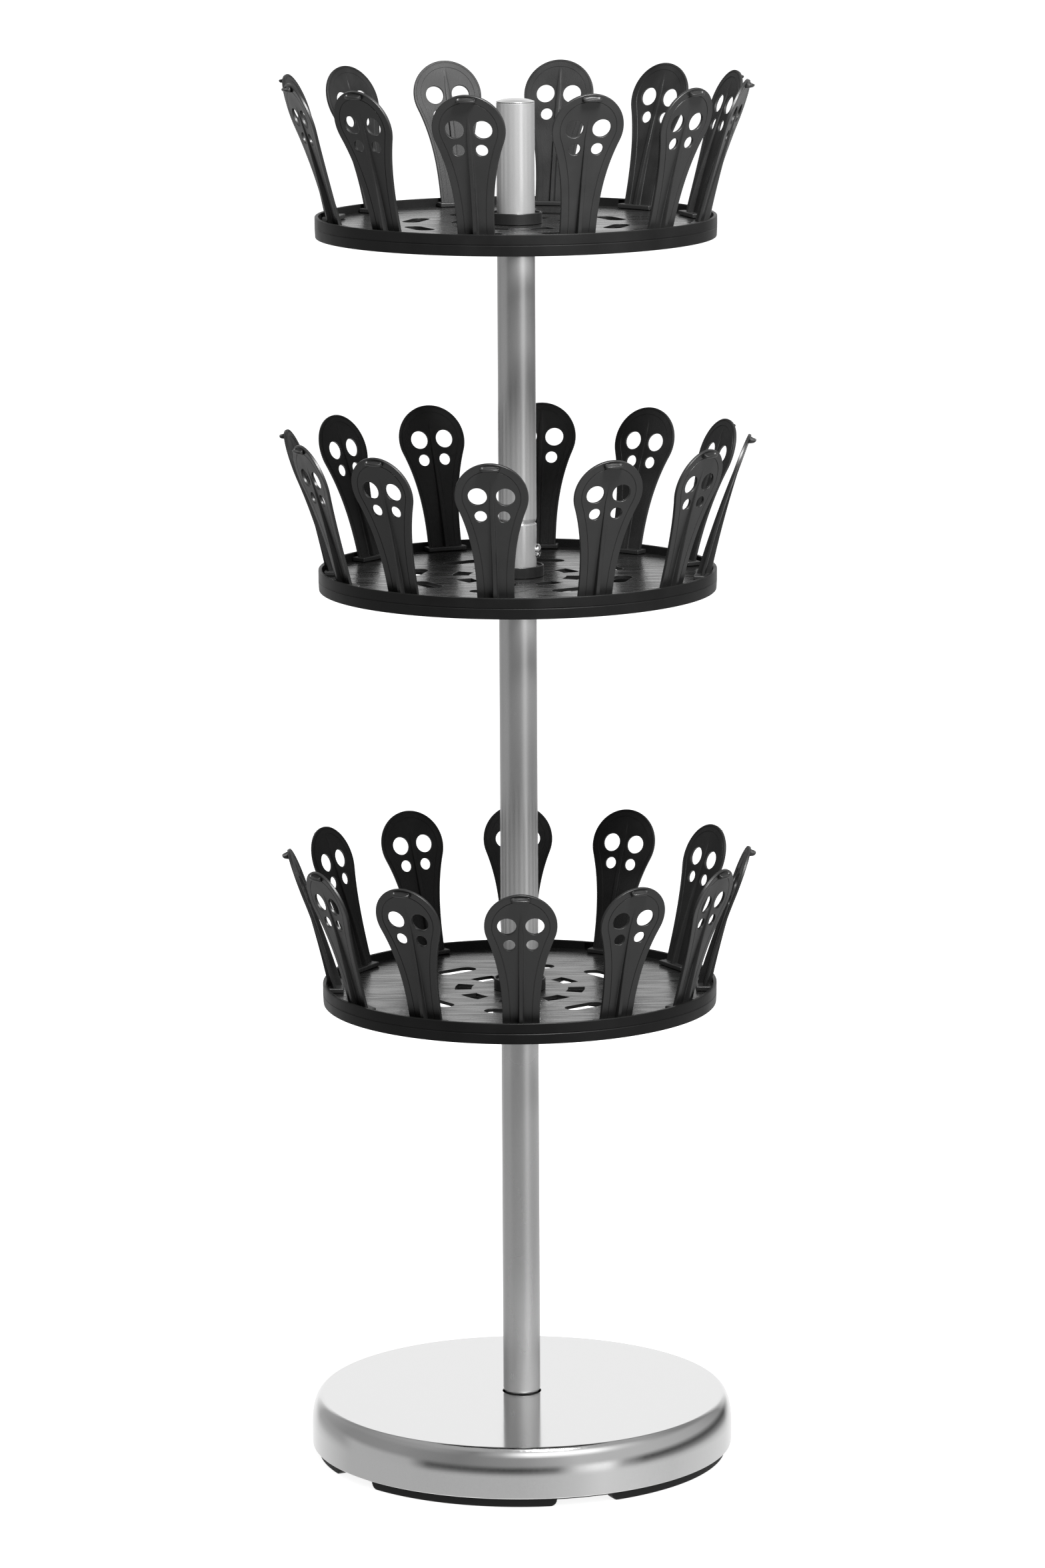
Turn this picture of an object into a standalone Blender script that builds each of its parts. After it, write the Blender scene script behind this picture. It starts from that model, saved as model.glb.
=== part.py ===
"""Three-tier revolving shoe tree, one metre tall.

A weighted round base carries a pole of three tubes. Three round trays turn freely on the pole, and twelve
paddle-shaped shoe holders lean outward from each tray's rim. Metres, +Z up. The origin is the centre of the
base on the floor, and the pole's axis is the Z axis.
"""

from math import asin, cos, pi, radians, sin, sqrt

import bmesh
import bpy
from mathutils import Matrix, Vector

# ---------------------------------------------------------------- driving dimensions
POLE_RADIUS = 0.0135
TRAY_RADIUS = 0.1424
BASE_RADIUS = 0.1530
BASE_TOP = 0.0432
POLE_TOP = 0.9809

TIERS = ("lower", "middle", "upper")
FLOOR_Z = {"lower": 0.3436, "middle": 0.6446, "upper": 0.8958}
TRAY_TURN = {"lower": radians(60.4), "middle": radians(53.6), "upper": radians(48.4)}
PADDLE_COUNT = 12

REST_GAP = 0.0003  # left between pieces that rest on each other
MERGE = 0.00001
FLAT_ANGLE = radians(0.3)  # faces this close to level with each other are merged
SHARP_ANGLE = radians(35)
TURN_STEPS = 32
SMALL_STEPS = 18
HOLE_STEPS = 12
FOOT_RING_STEPS = 30
PAD_STEPS = 5
FILLET_STEPS = 5
HEAD_STEPS = 10
FLANK_STEPS = 2
EYE_STEPS = 7
LOW_EYE_STEPS = 5
WINDOW_STEPS = 2
SLOT_END_STEPS = 3

# tray, heights measured from the top of its floor
RIM_TOP = 0.0060
RIM_BOTTOM = -0.0090
FLOOR_THICK = 0.0024
RIM_THICK = 0.0028
HUB_BORE = 0.0163
HUB_WALL = 0.0027
WINDOW_COUNT = 8
INNER_WINDOW = (0.0350, 0.0468)  # inner and outer radius
INNER_WINDOW_ANGLE = radians(24)
SLOT_RADIUS = 0.0750
SLOT_LENGTH = 0.0320
SLOT_WIDTH = 0.0130
CUT_REACH = 0.0100  # how far the window cutters reach above and below the floor's top

# hub bush and the ring under it
BUSH_BORE = 0.01405
BUSH_COLLAR_RADIUS = 0.0186
BUSH_COLLAR_TOP = 0.0082
BUSH_FOOT = -0.0112
RING_BORE = 0.0138
RING_RADIUS = 0.0195
RING_HEIGHT = 0.0065
RING_TOP = BUSH_FOOT - REST_GAP

# paddle, in its own flat sheet: x across, y up the blade from the tray floor, z out of its outer face
BLADE_LENGTH = 0.1083
BLADE_THICK = 0.0022
ROOT_RADIUS = 0.1323
LEAN_AT_ROOT = radians(14.3)
LEAN_AT_TIP = radians(21.7)
HEAD_RADIUS = 0.0256
HEAD_LEAVES = 0.0350  # distance below the tip where the flank leaves the head's circle
NECK_STARTS = 0.1030  # distance below the tip where the neck is at its narrowest
NECK_HALF_WIDTH = 0.0130
BLADE_FOOT = 0.0012
EYE_RADIUS = 0.00665
EYE_SPREAD = 0.0098
LOW_EYE_RADIUS = 0.0043
LOW_EYE_SPREAD = 0.0081
LOW_EYE_DROP = 0.0153
RIB_WIDTH = 0.0034
RIB_REACH = 0.0050  # from the blade's mid-plane, at the root
OUTER_RIB_END = 0.0156  # below the tip
INNER_RIB_END = 0.0068
RIB_FOOT = 0.0024
RIB_SINK = 0.0002  # how far the rib's ends lie inside the blade's faces
NIB_BELOW_TIP = 0.0012
NIB_WIDTH = 0.0137
NIB_DROP = 0.0050
NIB_REACH = 0.0056
NIB_TAPER = (0.0006, 0.0010)  # how much lower and higher its free end's top and bottom are
LUG_SIZE = (0.0104, 0.0300, 0.0032)  # radial, across, high
LUG_INSET = 0.0002
TAB_SIZE = (0.0030, 0.0240, 0.0070)
TAB_FOOT = -0.0056
TAB_SLOT_GAP = 0.0003
BEND_STATIONS = 2

# pole
TUBE_WALL = 0.0010
POLE_FOOT = 0.0236
JOINT_ABOVE_FLOOR = 0.0377
BUTTON_ABOVE_FLOOR = 0.0179
SWAGE_RADIUS = 0.0122
SWAGE_LENGTH = 0.0450
SWAGE_TAPER = 0.0040
BUTTON_RADIUS = 0.0050
BUTTON_HOLE_RADIUS = 0.0054
BUTTON_HOLE_SPAN = (0.0050, 0.0200)
BUTTON_TIP = 0.0168
# share of the radius, depth below the tip
BUTTON_DOME = ((0.0, 0.0), (0.50, 0.0004), (0.83, 0.0014), (1.0, 0.0030))
BUTTON_FLANGE = (0.0062, 0.0076, 0.0088)  # radius, inner x, outer x
SPRING_THICK = 0.0006
SPRING_WIDTH = 0.0056
SPRING_WALL_END = (-0.0102, 0.0060)  # x, and height from the button's axis
SPRING_BEND = (-0.0096, -0.0160)
SPRING_FREE_END = (0.0040, 0.0040)
CAP_TOP = 0.9838
CAP_DOME = ((0.0, 0.0), (0.0080, 0.0005), (0.0118, 0.0013))  # radius, depth below the top
CAP_EDGE = 0.0006
CAP_PLUG_DEPTH = 0.0100
PLUG_RADIUS = 0.0122
PLUG_HEIGHT = 0.0260

# base
FILLET_ACROSS = 0.0080
FILLET_DOWN = 0.0207
COVER_THICK = 0.0016
COVER_FOOT = 0.0072
COVER_HOLE = 0.0139
PAN_RADIUS = 0.1506
PAN_BOTTOM = 0.0082
PAN_TOP = 0.0110
BALLAST_RADIUS = 0.1280
BALLAST_TOP = 0.0233
BOLT_RADIUS = 0.0030
BOLT_HOLE_RADIUS = 0.0034
BOLT_HEAD_ACROSS = 0.0100
BOLT_HEAD = (0.0032, 0.0069)
BOLT_TOP = 0.0440
WASHER_RADIUS = 0.0090
WASHER = (0.0072, 0.0079)
PAD_COUNT = 5
PAD_ANGLE = radians(56)
PAD_FIRST = radians(-108.4)
PAD_RADII = (0.1385, 0.1485)
PAD_TOP = 0.0079
FOOT_RING_INSET = 0.0004
FOOT_RING_BOTTOM = 0.0050

# material name: colour, roughness, metallic
FINISHES = {
    "tray_black": ((0.022, 0.022, 0.023), 0.42, 0.0),
    "paddle_black": ((0.030, 0.030, 0.031), 0.45, 0.0),
    "bush_black": ((0.012, 0.012, 0.013), 0.35, 0.0),
    "pole_silver": ((0.45, 0.45, 0.46), 0.38, 0.9),
    "base_silver": ((0.60, 0.60, 0.61), 0.22, 0.9),
    "bright_steel": ((0.70, 0.70, 0.72), 0.15, 1.0),
    "iron": ((0.12, 0.12, 0.12), 0.70, 0.6),
    "pan_black": ((0.020, 0.020, 0.020), 0.60, 0.0),
    "pad_rubber": ((0.015, 0.015, 0.015), 0.80, 0.0),
}


# ---------------------------------------------------------------- scene helpers
def clear_scene():
    for obj in list(bpy.data.objects):
        bpy.data.objects.remove(obj, do_unlink=True)


def new_collection(name):
    collection = bpy.data.collections.new(name)
    bpy.context.scene.collection.children.link(collection)
    return collection


def make_material(name):
    colour, roughness, metallic = FINISHES[name]
    material = bpy.data.materials.new(name)
    material.use_nodes = True
    shader = material.node_tree.nodes["Principled BSDF"]
    shader.inputs["Base Color"].default_value = (*colour, 1.0)
    shader.inputs["Roughness"].default_value = roughness
    shader.inputs["Metallic"].default_value = metallic
    return material


clear_scene()
PARTS = new_collection("shoe_tree")
CUTTERS = new_collection("cutters")
MATERIALS = {name: make_material(name) for name in FINISHES}


def add_object(name, data, collection=PARTS):
    obj = bpy.data.objects.new(name, data)
    collection.objects.link(obj)
    return obj


def evaluated_mesh(obj):
    """A plain mesh of the object as its modifiers or its curve make it, with coincident points welded."""
    graph = bpy.context.evaluated_depsgraph_get()
    mesh = bpy.data.meshes.new_from_object(obj.evaluated_get(graph))
    shape = bmesh.new()
    shape.from_mesh(mesh)
    bmesh.ops.remove_doubles(shape, verts=shape.verts, dist=MERGE)
    bmesh.ops.dissolve_limit(shape, angle_limit=FLAT_ANGLE, verts=shape.verts, edges=shape.edges)
    shape.to_mesh(mesh)
    shape.free()
    return mesh


def baked(obj):
    """Replaces the object's modifiers by the mesh they give, shaded smooth except along its edges."""
    mesh = evaluated_mesh(obj)
    mesh.name = obj.name
    obj.modifiers.clear()
    obj.data = mesh
    mesh.shade_smooth()
    mesh.set_sharp_from_angle(angle=SHARP_ANGLE)
    return obj


def place(obj, material, parent=None, height=0.0, turn=0.0):
    obj.data.materials.clear()
    obj.data.materials.append(MATERIALS[material])
    obj.parent = parent
    obj.location.z += height
    obj.rotation_euler.z = turn
    return obj


def boolean(obj, other, operation):
    modifier = obj.modifiers.new(operation.lower(), "BOOLEAN")
    modifier.operation = operation
    modifier.solver = "EXACT"
    modifier.object = other


def retire(obj):
    """Keeps a cutter or a joined piece out of the model."""
    obj.hide_render = True
    obj.display_type = "WIRE"


# ---------------------------------------------------------------- shape helpers
def turned(name, profile, steps, closed=True, collection=PARTS):
    """A solid of revolution about Z. The profile's (radius, height) points run down its outer side."""
    mesh = bpy.data.meshes.new(name)
    count = len(profile)
    edges = [(i, i + 1) for i in range(count - 1)]
    if closed:
        edges.append((count - 1, 0))
    mesh.from_pydata([(r, 0.0, z) for r, z in profile], edges, [])
    obj = add_object(name, mesh, collection)
    screw = obj.modifiers.new("turn", "SCREW")
    screw.steps = steps
    screw.render_steps = steps
    screw.use_merge_vertices = True
    screw.merge_threshold = MERGE
    return obj


def ring(name, inner, outer, bottom, top, steps, collection=PARTS):
    profile = [(outer, top), (outer, bottom), (inner, bottom), (inner, top)]
    return turned(name, profile, steps, collection=collection)


def rod(name, radius, start, end, steps=HOLE_STEPS, collection=CUTTERS):
    """A cylinder between two points."""
    start, end = Vector(start), Vector(end)
    bpy.ops.mesh.primitive_cylinder_add(vertices=steps, radius=radius, depth=(end - start).length)
    obj = bpy.context.object
    for owner in obj.users_collection:
        owner.objects.unlink(obj)
    collection.objects.link(obj)
    obj.name = name
    turn = (end - start).to_track_quat("Z", "Y").to_matrix().to_4x4()
    obj.data.transform(Matrix.Translation((start + end) / 2) @ turn)
    return obj


def block(name, centre, size, collection=CUTTERS):
    bpy.ops.mesh.primitive_cube_add(size=1.0)
    obj = bpy.context.object
    for owner in obj.users_collection:
        owner.objects.unlink(obj)
    collection.objects.link(obj)
    obj.name = name
    obj.data.transform(Matrix.Translation(centre) @ Matrix.Diagonal((*size, 1.0)))
    return obj


def plate(name, outlines, half_thickness, collection=CUTTERS):
    """A flat sheet in the XY plane: the first outline filled, the others left as holes."""
    curve = bpy.data.curves.new(name, "CURVE")
    curve.dimensions = "2D"
    curve.fill_mode = "BOTH"
    curve.extrude = half_thickness
    for outline in outlines:
        spline = curve.splines.new("POLY")
        spline.points.add(len(outline) - 1)
        for point, (x, y) in zip(spline.points, outline):
            point.co = (x, y, 0.0, 1.0)
        spline.use_cyclic_u = True
    shape = add_object(name + "_outline", curve, collection)
    mesh = evaluated_mesh(shape)
    bpy.data.objects.remove(shape, do_unlink=True)
    return add_object(name, mesh, collection)


def arc(centre, radius, start, end, steps):
    """Points along an arc, both ends included."""
    angles = [start + (end - start) * i / steps for i in range(steps + 1)]
    return [(centre[0] + radius * cos(a), centre[1] + radius * sin(a)) for a in angles]


def circle(centre, radius, steps):
    return arc(centre, radius, 0.0, 2 * pi, steps)[:-1]


def gathered(name, members, collection=CUTTERS):
    """One cutter from several separate solids."""
    shape = bmesh.new()
    for member in members:
        mesh = evaluated_mesh(member)
        mesh.transform(member.matrix_basis)
        shape.from_mesh(mesh)
        bpy.data.objects.remove(member, do_unlink=True)
    mesh = bpy.data.meshes.new(name)
    shape.to_mesh(mesh)
    shape.free()
    return add_object(name, mesh, collection)


# ---------------------------------------------------------------- base
def base_cover():
    """A domed steel shell, open below, with a hole for the pole."""
    shoulder = BASE_RADIUS - FILLET_ACROSS
    top_of_side = BASE_TOP - FILLET_DOWN
    profile = [(COVER_HOLE, BASE_TOP)]
    for i in range(FILLET_STEPS + 1):
        angle = pi / 2 * (1 - i / FILLET_STEPS)
        profile.append((shoulder + FILLET_ACROSS * cos(angle), top_of_side + FILLET_DOWN * sin(angle)))
    profile.append((BASE_RADIUS, COVER_FOOT))
    obj = turned("base_cover", profile, TURN_STEPS, closed=False)
    shell = obj.modifiers.new("sheet", "SOLIDIFY")
    shell.thickness = COVER_THICK
    shell.offset = -1.0
    place(baked(obj), "base_silver")


def base_inside():
    pan = ring("base_underside", BOLT_HOLE_RADIUS, PAN_RADIUS, PAN_BOTTOM, PAN_TOP, TURN_STEPS)
    place(baked(pan), "pan_black")
    bottom = PAN_TOP + REST_GAP
    ballast = ring("base_ballast", BOLT_HOLE_RADIUS, BALLAST_RADIUS, bottom, BALLAST_TOP, TURN_STEPS)
    place(baked(ballast), "iron")


def foot_ring():
    """Five arc-shaped rubber pads, moulded on one thin ring that shows just below the cover's lip."""
    inner, outer = (radius + inset for radius, inset in zip(PAD_RADII, (FOOT_RING_INSET, -FOOT_RING_INSET)))
    feet = ring("foot_ring", inner, outer, FOOT_RING_BOTTOM, PAD_TOP, FOOT_RING_STEPS)
    for i in range(PAD_COUNT):
        middle = PAD_FIRST + 2 * pi * i / PAD_COUNT
        start, end = middle - PAD_ANGLE / 2, middle + PAD_ANGLE / 2
        outline = arc((0, 0), PAD_RADII[1], start, end, PAD_STEPS)
        outline += arc((0, 0), PAD_RADII[0], end, start, PAD_STEPS)
        pad = plate(f"pad_{i}", [outline], (PAD_TOP - REST_GAP) / 2)
        pad.location.z = (PAD_TOP - REST_GAP) / 2
        boolean(feet, pad, "UNION")
        retire(pad)
    place(baked(feet), "pad_rubber")


def anchor():
    """The bolt and washer that clamp the pole's foot plug down through the ballast."""
    head = rod("head", BOLT_HEAD_ACROSS / sqrt(3), (0, 0, BOLT_HEAD[0]), (0, 0, BOLT_HEAD[1]), steps=6)
    shank = rod("shank", BOLT_RADIUS, (0, 0, sum(BOLT_HEAD) / 2), (0, 0, BOLT_TOP))
    bolt = add_object("anchor_bolt", head.data.copy())
    boolean(bolt, shank, "UNION")
    place(baked(bolt), "bright_steel")
    retire(head)
    retire(shank)
    washer = ring("anchor_washer", BOLT_HOLE_RADIUS, WASHER_RADIUS, *WASHER, SMALL_STEPS)
    place(baked(washer), "bright_steel")
    plug_top = POLE_FOOT + PLUG_HEIGHT
    plug = ring("pole_foot_plug", BOLT_HOLE_RADIUS, PLUG_RADIUS, POLE_FOOT, plug_top, SMALL_STEPS)
    place(baked(plug), "pan_black")


# ---------------------------------------------------------------- pole
def button_hole(floor):
    height = floor + BUTTON_ABOVE_FLOOR
    start, end = ((x, 0, height) for x in BUTTON_HOLE_SPAN)
    cutter = rod("button_hole", BUTTON_HOLE_RADIUS, start, end)
    retire(cutter)
    return cutter


def tube_profile(bottom, top, swaged):
    """A tube's section. A swaged tube's lower end is drawn in to slide inside the tube below."""
    inner = POLE_RADIUS - TUBE_WALL
    if not swaged:
        return [(POLE_RADIUS, top), (POLE_RADIUS, bottom), (inner, bottom), (inner, top)]
    swage_inner = SWAGE_RADIUS - TUBE_WALL
    seat = bottom + REST_GAP
    neck = bottom - SWAGE_TAPER / 4
    foot = bottom - SWAGE_LENGTH
    return [
        (POLE_RADIUS, top),
        (POLE_RADIUS, seat + SWAGE_TAPER),
        (SWAGE_RADIUS, neck),
        (SWAGE_RADIUS, foot),
        (swage_inner, foot),
        (swage_inner, neck),
        (inner, seat + SWAGE_TAPER),
        (inner, top),
    ]


def pole():
    """Three tubes. Each upper tube's swaged end sits in the one below and carries a snap button."""
    joints = [FLOOR_Z[tier] + JOINT_ABOVE_FLOOR for tier in ("lower", "middle")]
    spans = {
        "lower": (POLE_FOOT, joints[0]),
        "middle": (joints[0], joints[1]),
        "upper": (joints[1], POLE_TOP),
    }
    cuts = {
        "lower": [button_hole(FLOOR_Z["lower"])],
        "middle": [button_hole(FLOOR_Z["lower"]), button_hole(FLOOR_Z["middle"])],
        "upper": [button_hole(FLOOR_Z["middle"])],
    }
    for tier in TIERS:
        bottom, top = spans[tier]
        profile = tube_profile(bottom, top, swaged=tier != "lower")
        tube = turned(f"pole_{tier}_tube", profile, SMALL_STEPS)
        for cutter in cuts[tier]:
            boolean(tube, cutter, "DIFFERENCE")
        place(baked(tube), "pole_silver")


def pole_cap():
    """A shallow domed plug in the top of the pole."""
    rim = POLE_TOP + REST_GAP
    neck = POLE_RADIUS - TUBE_WALL - REST_GAP
    profile = [(radius, CAP_TOP - depth) for radius, depth in CAP_DOME] + [
        (POLE_RADIUS, rim + CAP_EDGE),
        (POLE_RADIUS, rim),
        (neck, rim),
        (neck, rim - CAP_PLUG_DEPTH),
        (0.0, rim - CAP_PLUG_DEPTH),
    ]
    cap = turned("pole_cap", profile, SMALL_STEPS, closed=False)
    place(baked(cap), "pole_silver")


def snap_button(tier):
    """A domed catch that is pressed in to part two tubes. It slides along X."""
    height = FLOOR_Z[tier] + BUTTON_ABOVE_FLOOR
    flange_radius, flange_in, flange_out = BUTTON_FLANGE
    profile = [(BUTTON_RADIUS * share, BUTTON_TIP - depth) for share, depth in BUTTON_DOME] + [
        (BUTTON_RADIUS, flange_out),
        (flange_radius, flange_out),
        (flange_radius, flange_in),
        (0.0, flange_in),
    ]
    button = turned(f"{tier}_snap_button", profile, HOLE_STEPS, closed=False)
    baked(button)
    button.data.transform(Matrix.Rotation(pi / 2, 4, "Y"))
    place(button, "bright_steel", height=height)


def snap_spring(tier):
    """A V-shaped leaf behind a snap button, held in the swaged tube end."""
    outline = [
        SPRING_WALL_END,
        SPRING_BEND,
        SPRING_FREE_END,
        (SPRING_FREE_END[0] - SPRING_THICK, SPRING_FREE_END[1]),
        (SPRING_BEND[0] + SPRING_THICK, SPRING_BEND[1] + SPRING_THICK * 2),
        (SPRING_WALL_END[0] + SPRING_THICK, SPRING_WALL_END[1]),
    ]
    leaf = plate(f"{tier}_snap_spring", [outline], SPRING_WIDTH / 2, PARTS)
    leaf.data.transform(Matrix.Rotation(pi / 2, 4, "X"))
    place(leaf, "bright_steel", height=FLOOR_Z[tier] + BUTTON_ABOVE_FLOOR)


def support_rings():
    """A ring shrunk on to the pole below each tray carries the tray's bush."""
    for tier in TIERS:
        top = FLOOR_Z[tier] + RING_TOP
        support = ring(f"{tier}_support_ring", RING_BORE, RING_RADIUS, top - RING_HEIGHT, top, SMALL_STEPS)
        place(baked(support), "bush_black")


# ---------------------------------------------------------------- paddle
def flank(distance):
    """Half width of the blade at a distance below its tip: a round head running smoothly into a neck."""
    if distance <= HEAD_LEAVES:
        return sqrt(max(HEAD_RADIUS**2 - (distance - HEAD_RADIUS) ** 2, 0.0))
    span = NECK_STARTS - HEAD_LEAVES
    t = min((distance - HEAD_LEAVES) / span, 1.0)
    start = sqrt(HEAD_RADIUS**2 - (HEAD_LEAVES - HEAD_RADIUS) ** 2)
    slope = -(HEAD_LEAVES - HEAD_RADIUS) / start
    rise = t * (1 - t) ** 2 * span * slope
    blend = 1 - 3 * t**2 + 2 * t**3
    return blend * start + rise + (1 - blend) * NECK_HALF_WIDTH


def blade_outline():
    """The blade's outline, anticlockwise from where its right flank leaves the head."""
    centre = (0.0, BLADE_LENGTH - HEAD_RADIUS)
    leave = -asin((HEAD_LEAVES - HEAD_RADIUS) / HEAD_RADIUS)
    head = arc(centre, HEAD_RADIUS, leave, pi - leave, HEAD_STEPS)
    drops = [HEAD_LEAVES + (NECK_STARTS - HEAD_LEAVES) * (i + 1) / FLANK_STEPS for i in range(FLANK_STEPS)]
    left = [(-flank(drop), BLADE_LENGTH - drop) for drop in drops] + [(-NECK_HALF_WIDTH, BLADE_FOOT)]
    right = [(-x, y) for x, y in reversed(left)]
    return head + left + right


def eyes():
    head_y = BLADE_LENGTH - HEAD_RADIUS
    upper = [circle((side * EYE_SPREAD, head_y), EYE_RADIUS, EYE_STEPS) for side in (-1, 1)]
    low_y = head_y - LOW_EYE_DROP
    lower = [circle((side * LOW_EYE_SPREAD, low_y), LOW_EYE_RADIUS, LOW_EYE_STEPS) for side in (-1, 1)]
    return upper + lower


def side_plate(name, profile, half_width):
    """A profile in the blade's (y, z) plane, given half its width each way along x."""
    obj = plate(name, [profile], half_width)
    to_blade = Matrix(((0, 0, 1, 0), (1, 0, 0, 0), (0, 1, 0, 0), (0, 0, 0, 1)))
    obj.data.transform(to_blade)
    return obj


def rib_and_nib():
    """The keel that runs up both faces of the blade, and the small hood at the tip."""
    flush = BLADE_THICK / 2 - RIB_SINK
    rib = side_plate(
        "rib",
        [
            (RIB_FOOT, -RIB_REACH),
            (BLADE_LENGTH - INNER_RIB_END, -flush),
            (BLADE_LENGTH - OUTER_RIB_END, flush),
            (RIB_FOOT, RIB_REACH),
        ],
        RIB_WIDTH / 2,
    )
    tip = BLADE_LENGTH - NIB_BELOW_TIP
    lower_top, higher_bottom = NIB_TAPER
    nib = side_plate(
        "nib",
        [
            (tip - NIB_DROP, 0.0),
            (tip, 0.0),
            (tip - lower_top, NIB_REACH),
            (tip - NIB_DROP + higher_bottom, NIB_REACH),
        ],
        NIB_WIDTH / 2,
    )
    return rib, nib


def lean(y):
    """Radius, height and lean from upright of the blade's mid-line at a distance y up it."""
    rate = (LEAN_AT_TIP - LEAN_AT_ROOT) / BLADE_LENGTH
    angle = LEAN_AT_ROOT + rate * y
    radius = ROOT_RADIUS + (cos(LEAN_AT_ROOT) - cos(angle)) / rate
    height = (sin(angle) - sin(LEAN_AT_ROOT)) / rate
    return radius, height, angle


def bend(mesh):
    """Stands the flat blade up on the tray's +X side and leans it outward along its curve."""
    shape = bmesh.new()
    shape.from_mesh(mesh)
    for i in range(1, BEND_STATIONS):
        station = (0, BLADE_LENGTH * i / BEND_STATIONS, 0)
        everything = shape.verts[:] + shape.edges[:] + shape.faces[:]
        bmesh.ops.bisect_plane(shape, geom=everything, plane_co=station, plane_no=(0, 1, 0), dist=MERGE)
    bmesh.ops.triangulate(shape, faces=shape.faces)
    for vert in shape.verts:
        across, up, out = vert.co
        radius, height, angle = lean(up)
        vert.co = (radius + out * cos(angle), across, height - out * sin(angle))
    shape.to_mesh(mesh)
    shape.free()


def paddle_mesh():
    """One shoe holder: a leaning blade on a lug that rests on the tray, with a tab through the tray floor."""
    blade = plate("blade", [blade_outline()] + eyes(), BLADE_THICK / 2)
    for piece in rib_and_nib():
        boolean(blade, piece, "UNION")
        retire(piece)
    baked(blade)
    bend(blade.data)
    lug_centre = (ROOT_RADIUS - LUG_INSET, 0, REST_GAP + LUG_SIZE[2] / 2)
    tab_centre = (ROOT_RADIUS, 0, TAB_FOOT + TAB_SIZE[2] / 2)
    pieces = [block("lug", lug_centre, LUG_SIZE), block("tab", tab_centre, TAB_SIZE)]
    for piece in pieces:
        boolean(blade, piece, "UNION")
    mesh = baked(blade).data
    for piece in pieces:
        retire(piece)
    retire(blade)
    mesh.name = "paddle"
    return mesh


# ---------------------------------------------------------------- tray
def tray_section():
    wall = TRAY_RADIUS - RIM_THICK
    hub = HUB_BORE + HUB_WALL
    return [
        (TRAY_RADIUS, RIM_TOP),
        (TRAY_RADIUS, RIM_BOTTOM),
        (wall, RIM_BOTTOM),
        (wall, -FLOOR_THICK),
        (hub, -FLOOR_THICK),
        (hub, RIM_BOTTOM),
        (HUB_BORE, RIM_BOTTOM),
        (HUB_BORE, 0.0),
        (wall, 0.0),
        (wall, RIM_TOP),
    ]


def inner_window(angle):
    """A window near the hub, between two radii, with radial sides."""
    inner, outer = INNER_WINDOW
    start, end = angle - INNER_WINDOW_ANGLE / 2, angle + INNER_WINDOW_ANGLE / 2
    return arc((0, 0), outer, start, end, WINDOW_STEPS) + arc((0, 0), inner, end, start, WINDOW_STEPS)


def chord_slot(angle):
    """A round-ended slot square to the radius at this angle."""
    half, reach = SLOT_WIDTH / 2, (SLOT_LENGTH - SLOT_WIDTH) / 2
    slot = arc((0, reach), half, 0, pi, SLOT_END_STEPS) + arc((0, -reach), half, pi, 2 * pi, SLOT_END_STEPS)
    return [
        ((SLOT_RADIUS + x) * cos(angle) - y * sin(angle), (SLOT_RADIUS + x) * sin(angle) + y * cos(angle))
        for x, y in slot
    ]


def tab_slot(angle):
    reach = TAB_SIZE[0] / 2 + TAB_SLOT_GAP
    half = TAB_SIZE[1] / 2 + TAB_SLOT_GAP
    corners = [(-reach, -half), (reach, -half), (reach, half), (-reach, half)]
    return [
        ((ROOT_RADIUS + x) * cos(angle) - y * sin(angle), (ROOT_RADIUS + x) * sin(angle) + y * cos(angle))
        for x, y in corners
    ]


def tray_mesh():
    """A shallow round tray with a hub sleeve, sixteen windows and a slot for each paddle's tab."""
    tray = turned("tray_shape", tray_section(), TURN_STEPS, collection=CUTTERS)
    openings = []
    for i in range(WINDOW_COUNT):
        angle = 2 * pi * (i + 0.5) / WINDOW_COUNT
        openings += [inner_window(angle), chord_slot(angle)]
    openings += [tab_slot(2 * pi * i / PADDLE_COUNT) for i in range(PADDLE_COUNT)]
    cutters = [plate(f"opening_{i}", [outline], CUT_REACH) for i, outline in enumerate(openings)]
    cutter = gathered("tray_openings", cutters)
    boolean(tray, cutter, "DIFFERENCE")
    mesh = baked(tray).data
    mesh.name = "tray"
    retire(cutter)
    retire(tray)
    return mesh


def bush_mesh():
    """The flanged bush that lines a tray's hub and turns on the pole."""
    profile = [
        (BUSH_COLLAR_RADIUS, BUSH_COLLAR_TOP),
        (BUSH_COLLAR_RADIUS, REST_GAP),
        (HUB_BORE - REST_GAP, REST_GAP),
        (HUB_BORE - REST_GAP, BUSH_FOOT),
        (BUSH_BORE, BUSH_FOOT),
        (BUSH_BORE, BUSH_COLLAR_TOP),
    ]
    bush = turned("bush_shape", profile, SMALL_STEPS, collection=CUTTERS)
    mesh = baked(bush).data
    mesh.name = "bush"
    retire(bush)
    return mesh


def trays():
    """Three tiers that turn on the pole, each a tray, its bush and twelve paddles on one pivot."""
    shared_tray, shared_bush, shared_paddle = tray_mesh(), bush_mesh(), paddle_mesh()
    for tier in TIERS:
        pivot = add_object(f"{tier}_tray_pivot", None)
        pivot.location.z = FLOOR_Z[tier]
        pivot.rotation_euler.z = TRAY_TURN[tier]
        place(add_object(f"{tier}_tray", shared_tray), "tray_black", pivot)
        place(add_object(f"{tier}_hub_bush", shared_bush), "bush_black", pivot)
        for i in range(PADDLE_COUNT):
            paddle = add_object(f"{tier}_paddle_{i + 1:02d}", shared_paddle)
            place(paddle, "paddle_black", pivot, turn=2 * pi * i / PADDLE_COUNT)


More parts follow.
